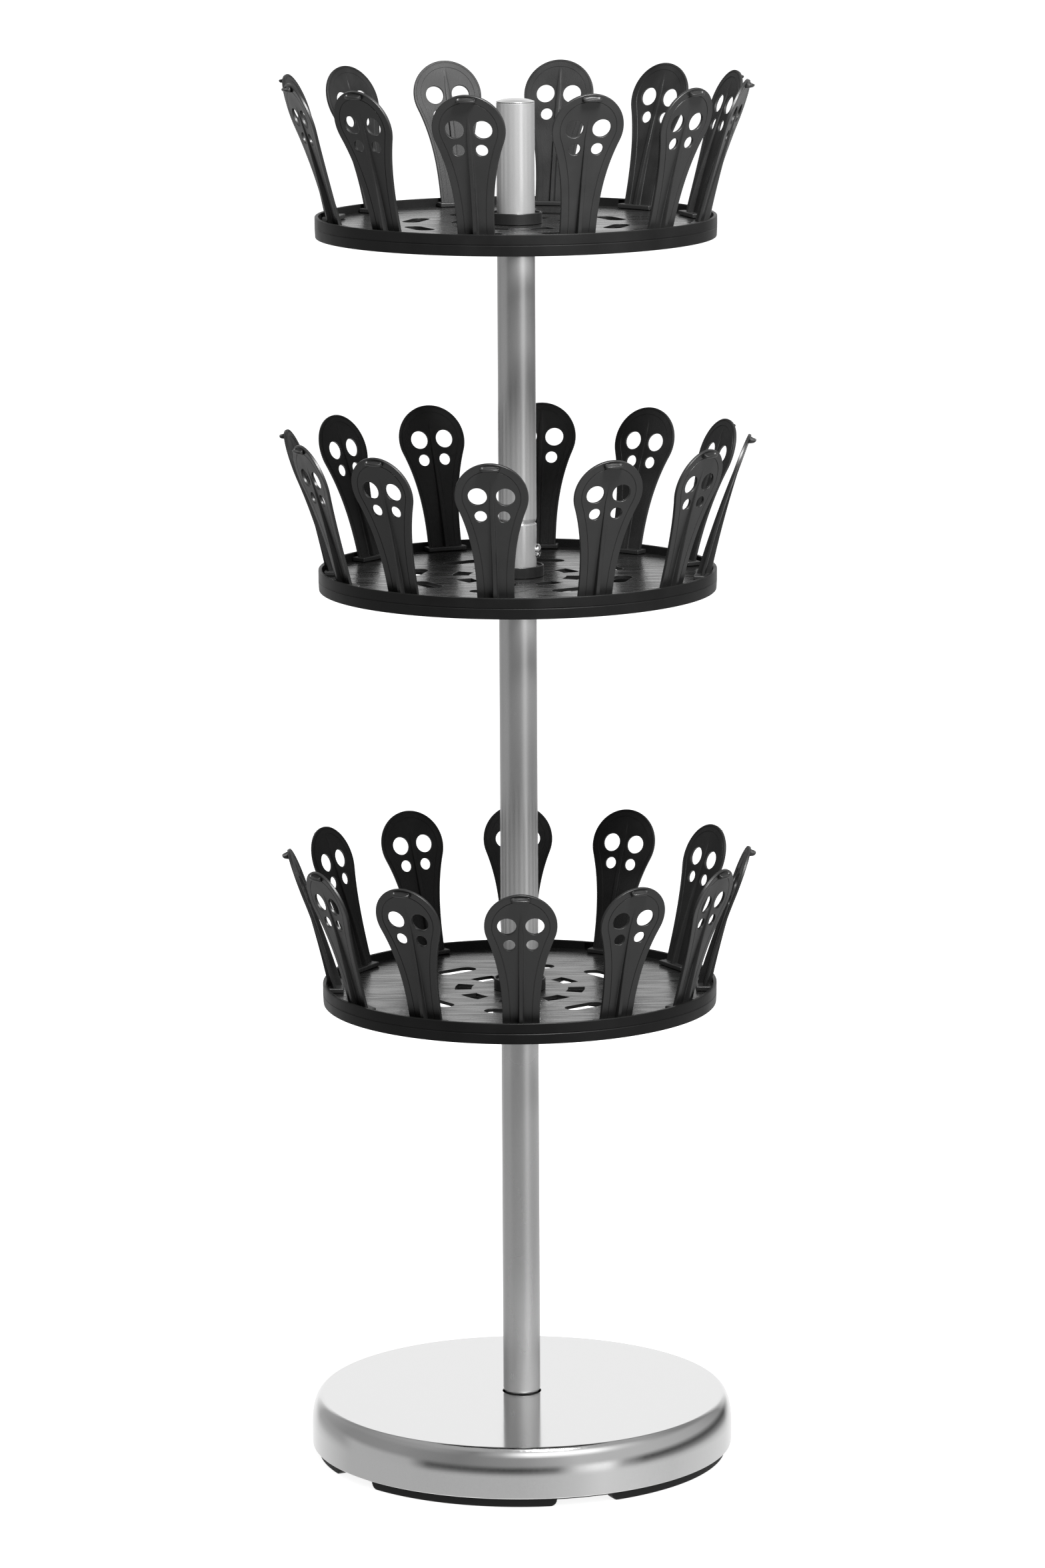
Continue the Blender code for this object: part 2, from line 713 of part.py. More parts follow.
base_cover()
base_inside()
foot_ring()
anchor()
pole()
pole_cap()
for joint_tier in ("lower", "middle"):
    snap_button(joint_tier)
    snap_spring(joint_tier)
support_rings()
trays()
CUTTERS.hide_render = True
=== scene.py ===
"""Looks for the three-tier revolving shoe tree: fine meshes, finishes, light, floor and camera.

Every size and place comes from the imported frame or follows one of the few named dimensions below. Each turned
or moulded piece is modelled once in its own axes and then set on its body.
"""
from math import asin, atan2, cos, pi, radians, sin, sqrt

import bmesh
import bpy
import numpy as np
from mathutils import Matrix, Vector
from mathutils.geometry import delaunay_2d_cdt

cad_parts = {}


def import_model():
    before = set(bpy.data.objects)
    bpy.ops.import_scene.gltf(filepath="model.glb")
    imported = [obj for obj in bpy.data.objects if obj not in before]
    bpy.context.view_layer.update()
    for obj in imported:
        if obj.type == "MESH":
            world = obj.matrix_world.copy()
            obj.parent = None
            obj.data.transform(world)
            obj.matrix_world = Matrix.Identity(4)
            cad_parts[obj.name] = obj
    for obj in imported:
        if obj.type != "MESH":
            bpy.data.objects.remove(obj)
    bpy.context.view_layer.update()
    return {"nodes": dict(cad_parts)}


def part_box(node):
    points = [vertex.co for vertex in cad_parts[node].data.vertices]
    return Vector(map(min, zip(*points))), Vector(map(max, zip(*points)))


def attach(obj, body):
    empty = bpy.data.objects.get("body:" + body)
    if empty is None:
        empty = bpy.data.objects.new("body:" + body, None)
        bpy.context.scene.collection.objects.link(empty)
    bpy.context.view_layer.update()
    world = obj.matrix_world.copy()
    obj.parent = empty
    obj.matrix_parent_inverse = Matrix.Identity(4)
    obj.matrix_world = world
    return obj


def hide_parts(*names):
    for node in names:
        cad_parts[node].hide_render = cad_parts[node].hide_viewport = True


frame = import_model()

MM = 0.001
TIERS = ("lower", "middle", "upper")
JOINTS = ("lower", "middle")  # each tube joint is named after the tube below it
PADDLES = 12

# ---------------------------------------------------------------- sizes, in millimetres unless a name says so
RIM_BOTTOM = -9.0  # tray heights are from the top of its floor
RIM_TOP = 6.0
RIM_THICK = 2.8
FLOOR_THICK = 2.4
HUB_BORE = 16.3
HUB_WALL = 2.7
WINDOWS = 8
INNER_WINDOW = (35.0, 46.8)
INNER_WINDOW_HALF_DEG = 12.0
SLOT_RADIUS = 75.0
SLOT_LENGTH = 32.0
SLOT_WIDTH = 13.0
WEB_THICK = 1.6
WEB_DROP = 4.6
WEB_RING = (125.4, 127.0)

BLADE_LENGTH = 108.3
BLADE_HALF_THICK = 1.1
BLADE_FOOT = 1.2
ROOT_RADIUS = 132.3
LEAN_AT_ROOT = radians(14.3)
LEAN_AT_TIP = radians(21.7)
HEAD_RADIUS = 25.6
HEAD_LEAVES = 35.0
NECK_STARTS = 103.0
NECK_HALF_WIDTH = 13.0
EDGE_ROUND = 0.5
EYES = ((9.8, 0.0, 6.65, 36), (8.1, -15.3, 4.3, 26))  # across, up from the head's centre, radius, steps
EYE_ROUND = 0.35
RIB_HALF_WIDTH = 1.7
RIB_REACH = 5.0
RIB_FOOT = 2.4
RIB_END_OUTER = 15.6
RIB_END_INNER = 6.8
RIB_POINT = 16.0  # length over which the rib's end is drawn to a point
HOOD_HALF_WIDTH = 6.85
HOOD_DROP = 5.0
HOOD_REACH = 5.6
HOOD_BELOW_TIP = 1.2
LUG_SIZE = (10.4, 30.0, 3.2)
TAB_SIZE = (3.0, 24.0, 7.0)
TAB_FOOT = -5.6
FILL_STEP = (3.1, 3.0)  # spacing of the points that fill a blade's face, across and up
FILL_GAP = 0.9  # least distance of such a point from an edge or another point

TUBE_WALL = 1.0
TUBE_EDGE = 0.45
SWAGED_RADIUS = 12.2
FOOT_CURL = (1.7, 3.2)  # how far the lowest tube's foot curls in, and over what height
SHOULDER_RISE = 4.3  # a swaged shoulder starts this far above the joint
SHOULDER_LENGTH = 5.3
BUTTON_HOLE_RADIUS = 5.4
CAP_CROWN = 2.1
BOLT_BORE = 3.4

COVER_HOLE = 13.9
COVER_SHEET = 1.6
SHOULDER_ACROSS = 8.0
SHOULDER_DOWN = 20.7
PADS = 5
PAD_FIRST = radians(-108.4)
PAD_HALF_ANGLE = radians(28.0)
PAD_RADII = (138.5, 148.5)
PAD_RING_BOTTOM = 5.0


# ---------------------------------------------------------------- mesh helpers
def metres(x, y, z):
    return x * MM, y * MM, z * MM


def to_mesh(shape, name, sharp_deg=32.0):
    """Turns a shape into a mesh shaded smooth except along its sharp edges, and frees the shape."""
    bmesh.ops.recalc_face_normals(shape, faces=shape.faces)
    mesh = bpy.data.meshes.new(name)
    shape.to_mesh(mesh)
    shape.free()
    mesh.shade_smooth()
    mesh.set_sharp_from_angle(angle=radians(sharp_deg))
    return mesh


def rounded(points, radius, steps=3, closed=True):
    """The outline with each corner drawn as a small curve. A point's third number is its own radius."""
    result = []
    count = len(points)
    for i, point in enumerate(points):
        here = Vector(point[:2])
        if not closed and i in (0, count - 1):
            result.append(tuple(here))
            continue
        before = Vector(points[i - 1][:2]) - here
        after = Vector(points[(i + 1) % count][:2]) - here
        wanted = point[2] if len(point) > 2 else radius
        reach = min(wanted, 0.48 * before.length, 0.48 * after.length)
        if reach <= 0:
            result.append(tuple(here))
            continue
        start, end = here + before.normalized() * reach, here + after.normalized() * reach
        for k in range(steps + 1):
            t = k / steps
            result.append(tuple(start * (1 - t) ** 2 + here * 2 * t * (1 - t) + end * t**2))
    return result


def lathe(profile, steps, closed=True):
    """A shape of revolution about Z, in metres, from (radius, height) points in millimetres."""
    shape = bmesh.new()
    rings = []
    for radius, height in profile:
        count = 1 if radius < 0.001 else steps
        angles = [2 * pi * i / steps for i in range(count)]
        rings.append([shape.verts.new(metres(radius * cos(a), radius * sin(a), height)) for a in angles])
    following = rings[1:] + rings[:1] if closed else rings[1:]
    for upper, lower in zip(rings, following):
        for i in range(steps):
            j = (i + 1) % steps
            corners = [(upper, i), (lower, i), (lower, j), (upper, j)]
            face = list(dict.fromkeys(ring[k % len(ring)] for ring, k in corners))
            if len(face) > 2:
                shape.faces.new(face)
    return shape


def lathe_mesh(name, profile, steps, closed=True):
    return to_mesh(lathe(profile, steps, closed), name)


def arc(radius, start, end, steps, centre=(0.0, 0.0)):
    angles = [start + (end - start) * i / steps for i in range(steps + 1)]
    return [(centre[0] + radius * cos(a), centre[1] + radius * sin(a)) for a in angles]


def circle(radius, steps, centre=(0.0, 0.0)):
    return arc(radius, 0.0, 2 * pi, steps, centre)[:-1]


def at_angle(points, radius, angle):
    """Points drawn about (radius, 0), turned about the origin by an angle."""
    c, s = cos(angle), sin(angle)
    return [((radius + x) * c - y * s, (radius + x) * s + y * c) for x, y in points]


def plate_mesh(name, outlines, bottom, top, edge):
    """A flat plate in millimetres: the first outline filled, the others holes, every edge rounded."""
    curve = bpy.data.curves.new(name, "CURVE")
    curve.dimensions = "2D"
    curve.fill_mode = "BOTH"
    curve.extrude = ((top - bottom) / 2 - edge) * MM
    curve.bevel_depth = edge * MM
    curve.bevel_resolution = 2
    curve.offset = -edge * MM
    for outline in outlines:
        spline = curve.splines.new("POLY")
        spline.points.add(len(outline) - 1)
        for point, (x, y) in zip(spline.points, outline):
            point.co = (x * MM, y * MM, 0.0, 1.0)
        spline.use_cyclic_u = True
    holder = scratch(name + "_curve", curve)
    mesh = bpy.data.meshes.new_from_object(holder.evaluated_get(bpy.context.evaluated_depsgraph_get()))
    bpy.data.objects.remove(holder, do_unlink=True)
    shape = bmesh.new()
    shape.from_mesh(mesh)
    bmesh.ops.remove_doubles(shape, verts=shape.verts, dist=0.01 * MM)
    bmesh.ops.translate(shape, verts=shape.verts, vec=(0, 0, (top + bottom) / 2 * MM))
    return to_mesh(shape, name)


def block_shape(centre, size, edge):
    """A block in millimetres with rounded edges."""
    shape = bmesh.new()
    bmesh.ops.create_cube(shape, size=1.0)
    stretch = Matrix.Diagonal((*(side * MM for side in size), 1.0))
    shape.transform(Matrix.Translation(Vector(centre) * MM) @ stretch)
    bmesh.ops.bevel(shape, geom=shape.edges[:], offset=edge * MM, segments=3, affect="EDGES", profile=0.5)
    return shape


def block_mesh(name, centre, size, edge):
    return to_mesh(block_shape(centre, size, edge), name)


def scratch(name, data):
    obj = bpy.data.objects.new(name, data)
    bpy.context.scene.collection.objects.link(obj)
    bpy.context.view_layer.update()
    return obj


def combined(name, first, others, operation="UNION"):
    """One mesh from several closed ones by Boolean steps."""
    target = scratch(name, first)
    helpers = [scratch(f"{name}_{i}", mesh) for i, mesh in enumerate(others)]
    for helper in helpers:
        step = target.modifiers.new("step", "BOOLEAN")
        step.operation = operation
        step.solver = "EXACT"
        step.object = helper
    bpy.context.view_layer.update()
    mesh = bpy.data.meshes.new_from_object(target.evaluated_get(bpy.context.evaluated_depsgraph_get()))
    for obj in [target, *helpers]:
        bpy.data.objects.remove(obj, do_unlink=True)
    mesh.name = name
    mesh.shade_smooth()
    mesh.set_sharp_from_angle(angle=radians(32))
    return mesh


def gathered(name, shapes):
    """One mesh that holds several separate shapes."""
    whole = bmesh.new()
    for shape in shapes:
        part = to_mesh(shape, name)
        whole.from_mesh(part)
        bpy.data.meshes.remove(part)
    return to_mesh(whole, name)


# ---------------------------------------------------------------- finishes
def add(material, kind, **values):
    """A new node. A value named as an input sets the input, any other sets the node's own property."""
    node = material.node_tree.nodes.new(kind)
    for key, value in values.items():
        label = key.replace("_", " ").title()
        if label in node.inputs:
            node.inputs[label].default_value = value
        else:
            setattr(node, key, value)
    return node


def link(material, source, target):
    material.node_tree.links.new(source, target)


def place_coordinates(material, stretch=(1.0, 1.0, 1.0), turn=0.0, per_object=False):
    """The object's own coordinates, stretched and turned about Z, and shifted for each object if asked."""
    coordinates = add(material, "ShaderNodeTexCoord").outputs["Object"]
    if per_object:
        info = add(material, "ShaderNodeObjectInfo")
        shifted = add(material, "ShaderNodeVectorMath", operation="ADD")
        link(material, coordinates, shifted.inputs[0])
        link(material, info.outputs["Random"], shifted.inputs[1])
        coordinates = shifted.outputs["Vector"]
    mapping = add(material, "ShaderNodeMapping")
    mapping.inputs["Scale"].default_value = stretch
    mapping.inputs["Rotation"].default_value = (0.0, 0.0, turn)
    link(material, coordinates, mapping.inputs["Vector"])
    return mapping.outputs["Vector"]


def noise(material, scale, detail=2.0, **coordinates):
    node = add(material, "ShaderNodeTexNoise", scale=scale, detail=detail)
    link(material, place_coordinates(material, **coordinates), node.inputs["Vector"])
    return node.outputs["Fac"]


def spread(material, source, low, high, start=0.3, end=0.7):
    """Maps a noise's useful range to low..high."""
    node = add(material, "ShaderNodeMapRange")
    node.inputs["From Min"].default_value = start
    node.inputs["From Max"].default_value = end
    node.inputs["To Min"].default_value = low
    node.inputs["To Max"].default_value = high
    link(material, source, node.inputs["Value"])
    return node.outputs["Result"]


def tinted(material, source, low, high):
    """A grey between two values, by a noise."""
    node = add(material, "ShaderNodeMix", data_type="RGBA")
    node.inputs[6].default_value = (low, low, low, 1.0)
    node.inputs[7].default_value = (high, high, high, 1.0)
    link(material, spread(material, source, 0.0, 1.0), node.inputs["Factor"])
    return node.outputs[2]


def bumped(material, layers):
    """Stacks bump layers of (height, strength, distance in millimetres) on the material's shader."""
    normal = None
    for height, strength, distance in layers:
        node = add(material, "ShaderNodeBump", strength=strength)
        node.inputs["Distance"].default_value = distance * MM
        link(material, height, node.inputs["Height"])
        if normal:
            link(material, normal, node.inputs["Normal"])
        normal = node.outputs["Normal"]
    link(material, normal, material.node_tree.nodes["Principled BSDF"].inputs["Normal"])


def finish(name, metallic=0.0, coat=0.0, coat_roughness=0.05, specular=0.5):
    material = bpy.data.materials.new(name)
    material.use_nodes = True
    shader = material.node_tree.nodes["Principled BSDF"]
    shader.inputs["Metallic"].default_value = metallic
    shader.inputs["Coat Weight"].default_value = coat
    shader.inputs["Coat Roughness"].default_value = coat_roughness
    shader.inputs["Specular IOR Level"].default_value = specular
    return material, shader


def plastic(name, grey, rough, grain, grain_strength, mottle=0.15, per_object=False, specular=0.5):
    """Moulded plastic: a fine even grain, a slow unevenness in tone, and a roughness that wanders."""
    material, shader = finish(name, specular=specular)
    slow = noise(material, 45.0, 3.0, per_object=per_object)
    fine = noise(material, grain, 2.0, per_object=per_object)
    tint = tinted(material, slow, grey * (1 - mottle), grey * (1 + mottle))
    link(material, tint, shader.inputs["Base Color"])
    link(material, spread(material, slow, rough - 0.05, rough + 0.05), shader.inputs["Roughness"])
    bumped(material, [(slow, 0.05, 1.0), (fine, grain_strength, 0.12)])
    return material


def tray_floor_finish():
    """The tray's top face: the same plastic with the flow streaks and scuffs that the low light shows."""
    material, shader = finish("tray_floor", specular=0.8)
    streaks = noise(material, 34.0, 6.0, stretch=(1.0, 7.0, 1.0), turn=radians(24))
    cross_streaks = noise(material, 46.0, 5.0, stretch=(6.0, 1.0, 1.0), turn=radians(-12))
    clouds = noise(material, 22.0, 4.0)
    fine = noise(material, 1700.0, 2.0)
    link(material, tinted(material, clouds, 0.004, 0.012), shader.inputs["Base Color"])
    link(material, spread(material, streaks, 0.15, 0.36), shader.inputs["Roughness"])
    layers = [(clouds, 0.10, 1.0), (streaks, 0.20, 0.6), (cross_streaks, 0.14, 0.5), (fine, 0.30, 0.08)]
    bumped(material, layers)
    return material


def satin_metal(name, grey, rough, speckle_strength, metallic):
    """Silver paint: a fine sparkle and a slight drift in tone along the tube."""
    material, shader = finish(name, metallic=metallic)
    drift = noise(material, 14.0, 2.0, stretch=(1.0, 1.0, 0.4))
    speckle = noise(material, 2600.0, 2.0)
    drawn = noise(material, 900.0, 2.0, stretch=(1.0, 1.0, 0.03))
    link(material, tinted(material, speckle, grey * 0.94, grey * 1.06), shader.inputs["Base Color"])
    link(material, spread(material, drift, rough - 0.02, rough + 0.02), shader.inputs["Roughness"])
    bumped(material, [(drawn, 0.05, 0.05), (speckle, speckle_strength, 0.04)])
    return material


def lacquered_metal():
    """The base cover's glossy silver lacquer, with the faint waves of pressed sheet and fine orange peel."""
    material, shader = finish("base_lacquer", metallic=1.0, coat=0.35, coat_roughness=0.03)
    waves = noise(material, 26.0, 1.0)
    peel = noise(material, 420.0, 1.0)
    flake = noise(material, 4200.0, 1.0)
    link(material, tinted(material, flake, 0.71, 0.77), shader.inputs["Base Color"])
    link(material, spread(material, peel, 0.09, 0.13), shader.inputs["Roughness"])
    bumped(material, [(waves, 0.10, 0.30), (peel, 0.05, 0.02)])
    return material


def bright_metal(name, grey, rough, metallic=1.0):
    material, shader = finish(name, metallic=metallic)
    worn = noise(material, 600.0, 4.0)
    link(material, tinted(material, worn, grey * 0.93, grey), shader.inputs["Base Color"])
    link(material, spread(material, worn, rough, rough + 0.08), shader.inputs["Roughness"])
    bumped(material, [(worn, 0.06, 0.03)])
    return material


def rubber(name, grey, rough):
    material, shader = finish(name, specular=0.35)
    dust = noise(material, 130.0, 5.0)
    fine = noise(material, 1500.0, 3.0)
    link(material, tinted(material, dust, grey, grey * 1.7), shader.inputs["Base Color"])
    link(material, spread(material, dust, rough - 0.08, rough + 0.06), shader.inputs["Roughness"])
    bumped(material, [(fine, 0.35, 0.10)])
    return material


LOOKS = {
    "tray": plastic("tray_plastic", 0.005, 0.42, 1900.0, 0.25, specular=0.19),
    "tray_floor": tray_floor_finish(),
    "paddle": plastic("paddle_plastic", 0.010, 0.44, 2300.0, 0.30, per_object=True),
    "paddle_inside": plastic(
        "paddle_inside", 0.010, 0.50, 1500.0, 0.75, mottle=0.3, per_object=True, specular=0.16
    ),
    "bush": plastic("bush_plastic", 0.007, 0.34, 2000.0, 0.15),
    "pole": satin_metal("pole_silver_look", 0.56, 0.28, 0.12, 0.74),
    "cap": satin_metal("cap_silver_look", 0.44, 0.26, 0.10, 0.74),
    "base": lacquered_metal(),
    "chrome": bright_metal("chrome_look", 0.80, 0.06),
    "iron": bright_metal("iron_look", 0.16, 0.55, metallic=0.8),
    "pan": rubber("pan_look", 0.020, 0.55),
    "rubber": rubber("pad_look", 0.010, 0.62),
}


def show(name, mesh, body, look, nodes, matrix=None):
    """Sets a piece in the model in place of its CAD nodes. A matrix moves a copy of the shape into place."""
    looks = look if isinstance(look, tuple) else (look,)
    if matrix:
        mesh = mesh.copy()
        mesh.transform(matrix)
    if not mesh.materials:
        for key in looks:
            mesh.materials.append(LOOKS[key])
    obj = bpy.data.objects.new(name, mesh)
    bpy.context.scene.collection.objects.link(obj)
    weighted = obj.modifiers.new("weighted_normals", "WEIGHTED_NORMAL")
    weighted.keep_sharp = True
    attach(obj, body)
    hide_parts(*nodes)
    return obj


# ---------------------------------------------------------------- places read from the frame
def floor_height(tier):
    """Height of the top of a tray's floor, in metres."""
    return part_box(f"{tier}_tray")[1].z - RIM_TOP * MM


def turn_of(node):
    """Angle about the pole of a paddle, from the mean of its tab's lowest corners."""
    top_of_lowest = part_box(node)[0].z + 0.01 * MM
    lowest = [vert.co for vert in frame["nodes"][node].data.vertices if vert.co.z < top_of_lowest]
    corners = {tuple(round(c, 6) for c in co) for co in lowest}
    return atan2(sum(y for _, y, _ in corners), sum(x for x, _, _ in corners))


# ---------------------------------------------------------------- paddle
def flank(distance):
    """Half width of the blade at a distance below its tip: a round head running smoothly into a neck."""
    if distance <= HEAD_LEAVES:
        return sqrt(max(HEAD_RADIUS**2 - (distance - HEAD_RADIUS) ** 2, 0.0))
    span = NECK_STARTS - HEAD_LEAVES
    t = min((distance - HEAD_LEAVES) / span, 1.0)
    start = sqrt(HEAD_RADIUS**2 - (HEAD_LEAVES - HEAD_RADIUS) ** 2)
    slope = -(HEAD_LEAVES - HEAD_RADIUS) / start
    rise = t * (1 - t) ** 2 * span * slope
    blend = 1 - 3 * t**2 + 2 * t**3
    return blend * start + rise + (1 - blend) * NECK_HALF_WIDTH


def edge_line(depth, head_steps=56, flank_steps=20):
    """The blade's edge moved inward by a depth, from its right foot round the head to its left foot."""
    right = []
    last = BLADE_LENGTH - BLADE_FOOT
    for i in range(flank_steps):
        distance = last + (HEAD_LEAVES - last) * i / flank_steps
        slope = (flank(distance + 0.05) - flank(distance - 0.05)) / 0.1
        length = sqrt(1 + slope**2)
        right.append((flank(distance) - depth / length, BLADE_LENGTH - distance - slope * depth / length))
    right[0] = (NECK_HALF_WIDTH - depth, BLADE_FOOT)
    leave = -asin((HEAD_LEAVES - HEAD_RADIUS) / HEAD_RADIUS)
    centre = (0.0, BLADE_LENGTH - HEAD_RADIUS)
    head = arc(HEAD_RADIUS - depth, leave, pi - leave, head_steps, centre)
    return right + head + [(-x, y) for x, y in reversed(right)]


# how far each face lies from the blade's mid-plane, by depth in from the edge: edge round, then fine lines
ROUND = [
    (depth, BLADE_HALF_THICK - EDGE_ROUND + sqrt(max(EDGE_ROUND**2 - (EDGE_ROUND - depth) ** 2, 0.0)))
    for depth in (0.0, 0.07, 0.22, 0.5)
]
OUTER_LINES = ROUND + [(5.00, 1.10), (5.12, 0.78), (5.45, 0.78), (5.57, 1.10)]
INNER_LINES = ROUND + [(1.50, 1.10), (1.60, 0.85), (1.95, 0.85), (2.05, 1.10), (5.15, 1.10), (5.35, 0.88)]
# the rib's side, by distance beyond its half width and share of its height
RIB_LINES = ((0.50, 0.0), (0.10, 0.10), (-0.12, 0.80), (-0.50, 1.0))


def rib_size(up, end_below_tip):
    """Half width and height over the face of the rib at a height up the blade."""
    end = BLADE_LENGTH - end_below_tip
    full = RIB_REACH - BLADE_HALF_THICK
    height = full * max(end - up, 0.0) / (end - RIB_FOOT)
    share = min(max((end - up) / RIB_POINT, 0.0), 1.0)
    return RIB_HALF_WIDTH * (0.32 + 0.68 * share), min(height, full)


def rib_height(across, up, end_below_tip):
    half, height = rib_size(up, end_below_tip)
    shares = [(half + beyond, share) for beyond, share in RIB_LINES]
    shares = [(0.0, 1.0)] + sorted(shares)
    return height * float(np.interp(abs(across), [s[0] for s in shares], [s[1] for s in shares]))


def blade_face(lines, end_below_tip):
    """One face of the flat blade as points (x, y, height over the mid-plane), triangles, and its rims."""
    points, edges, heights = [], [], []

    def draw(line, closed=False, height=None):
        first = len(points)
        points.extend(line)
        heights.extend([height] * len(line))
        edges.extend((first + i, first + i + 1) for i in range(len(line) - 1))
        if closed:
            edges.append((first + len(line) - 1, first))
        return list(range(first, len(points)))

    depths, levels = [d for d, _ in lines], [z for _, z in lines]
    rings = [draw(edge_line(depth), height=level) for depth, level in lines]
    head = BLADE_LENGTH - HEAD_RADIUS
    rims = []
    for across, up, radius, steps in EYES:
        for side in (-1, 1):
            for gap in (0.0, 0.05, 0.15, EYE_ROUND):
                drop = EYE_ROUND - sqrt(max(EYE_ROUND**2 - (EYE_ROUND - gap) ** 2, 0.0))
                ring = draw(circle(radius + gap, steps, (side * across, head + up)), True, levels[-1] - drop)
                if gap == 0.0:
                    rims.append(ring)
    end = BLADE_LENGTH - end_below_tip
    stations = [BLADE_FOOT + (end - BLADE_FOOT) * i / 34 for i in range(35)]
    feet = [ring[0] for ring in rings] + [ring[-1] for ring in rings]
    for beyond in [None] + [beyond for beyond, _ in RIB_LINES]:
        for side in (-1, 1):
            if beyond is None and side == 1:
                continue
            if beyond is None:
                line = [(0.0, y) for y in stations]
            else:
                line = [(side * (rib_size(y, end_below_tip)[0] + beyond), y) for y in stations]
            feet.append(draw(line)[0])
    feet.sort(key=lambda i: points[i][0])
    edges.extend(zip(feet, feet[1:]))
    taken = np.array(points)
    outline = np.array(edge_line(0.0, 220, 90))
    for row in range(int(BLADE_LENGTH / FILL_STEP[1])):
        for column in range(-8, 9):
            spot = (column * FILL_STEP[0], BLADE_FOOT + FILL_STEP[1] * (row + 0.5))
            inside = abs(spot[0]) < flank(BLADE_LENGTH - spot[1]) - FILL_GAP
            in_eye = any(
                (abs(spot[0]) - across) ** 2 + (spot[1] - head - up) ** 2 < (radius + 1.0) ** 2
                for across, up, radius, _ in EYES
            )
            if inside and not in_eye and np.min(np.hypot(*(taken - spot).T)) > FILL_GAP:
                draw([spot])
    found = delaunay_2d_cdt([Vector(p) for p in points], edges, [], 1, 0.0001)
    flat, triangles, origins = found[0], found[2], found[3]
    verts = []
    for co, origin in zip(flat, origins):
        level = heights[origin[0]] if origin else None
        if level is None:
            depth = float(np.min(np.hypot(*(outline - np.array(co)).T)))
            level = float(np.interp(depth, depths, levels))
        verts.append((co.x, co.y, level + rib_height(co.x, co.y, end_below_tip)))
    new_index = {old: i for i, origin in enumerate(origins) for old in origin}
    kept = []
    for triangle in triangles:
        x = sum(flat[i].x for i in triangle) / 3
        y = sum(flat[i].y for i in triangle) / 3
        in_eye = any(
            (abs(x) - across) ** 2 + (y - head - up) ** 2 < (radius * cos(pi / steps)) ** 2
            for across, up, radius, steps in EYES
        )
        if not in_eye:
            kept.append(triangle)
    rename = lambda ring: [new_index[i] for i in ring]
    return verts, kept, rename(rings[0]), [rename(rim) for rim in rims], rename(feet)


def blade_mesh():
    """The flat blade: x across, y up, z out of its outer face. Its inner face takes the second material."""
    shape = bmesh.new()
    sides = []
    for sign, lines, end in ((1, OUTER_LINES, RIB_END_OUTER), (-1, INNER_LINES, RIB_END_INNER)):
        verts, triangles, edge, rims, feet = blade_face(lines, end)
        made = [shape.verts.new(metres(x, y, sign * z)) for x, y, z in verts]
        for triangle in triangles:
            face = shape.faces.new([made[i] for i in triangle])
            face.material_index = 0 if sign > 0 else 1
        sides.append([[made[i] for i in ring] for ring in [edge, *rims, feet]])
    outer, inner = sides
    for k, (ring, other) in enumerate(zip(outer[:-1], inner[:-1])):
        count = len(ring)
        for i in range(count - 1 if k == 0 else count):
            j = (i + 1) % count
            shape.faces.new([ring[i], ring[j], other[j], other[i]])
    shape.faces.new(outer[-1] + inner[-1][::-1])
    return to_mesh(shape, "blade")


def hood_mesh():
    """The small nib that stands out of the outer face at the tip, dished on top, with a round front edge."""
    steps = 48
    levels = [  # inset from the outline, share of the way up from the underside to the top, and a drop
        (1.30, 0.0, 0.0), (0.35, 0.0, -0.12), (0.0, 0.0, -0.55), (0.0, 1.0, 0.45), (0.15, 1.0, 0.12),
        (0.42, 1.0, 0.0), (0.75, 1.0, 0.10), (1.05, 1.0, 0.55), (1.45, 1.0, 0.95),
    ]
    shape = bmesh.new()
    tip = BLADE_LENGTH - HOOD_BELOW_TIP
    middle = HOOD_REACH / 2
    rings = []
    for inset, share, drop in levels:
        ring = []
        for i in range(steps):
            angle = 2 * pi * i / steps
            x = (HOOD_HALF_WIDTH - inset) * np.sign(cos(angle)) * abs(cos(angle)) ** 0.5
            out = middle + (middle - inset) * np.sign(sin(angle)) * abs(sin(angle)) ** 0.7
            out -= 0.015 * x * x * out / HOOD_REACH
            top = tip - x * x / (2 * HEAD_RADIUS) - 0.10 * out
            under = tip - HOOD_DROP + 0.46 * out
            y = under + (top - under) * share - drop
            ring.append(shape.verts.new(metres(x, y, out + 0.2)))
        rings.append(ring)
    for ring, further in zip(rings, rings[1:]):
        for i in range(steps):
            j = (i + 1) % steps
            shape.faces.new([ring[i], ring[j], further[j], further[i]])
    shape.faces.new(rings[0][::-1])
    shape.faces.new(rings[-1])
    return to_mesh(shape, "hood")


def lean(up):
    """Radius, height and lean from upright of the blade's mid-line at a distance up it, in millimetres."""
    rate = (LEAN_AT_TIP - LEAN_AT_ROOT) / BLADE_LENGTH
    angle = LEAN_AT_ROOT + rate * up
    radius = ROOT_RADIUS + (cos(LEAN_AT_ROOT) - cos(angle)) / rate
    height = (sin(angle) - sin(LEAN_AT_ROOT)) / rate
    return radius, height, angle


def paddle_mesh():
    blade = combined("blade", blade_mesh(), [hood_mesh()])
    for vert in blade.vertices:
        across, up, out = vert.co / MM
        radius, height, angle = lean(up)
        vert.co = Vector((radius + out * cos(angle), across, height - out * sin(angle))) * MM
    lug = block_mesh("lug", (ROOT_RADIUS - 0.2, 0, 0.3 + LUG_SIZE[2] / 2), LUG_SIZE, 0.7)
    tab = block_mesh("tab", (ROOT_RADIUS, 0, TAB_FOOT + TAB_SIZE[2] / 2), TAB_SIZE, 0.4)
    return combined("paddle", blade, [lug, tab])


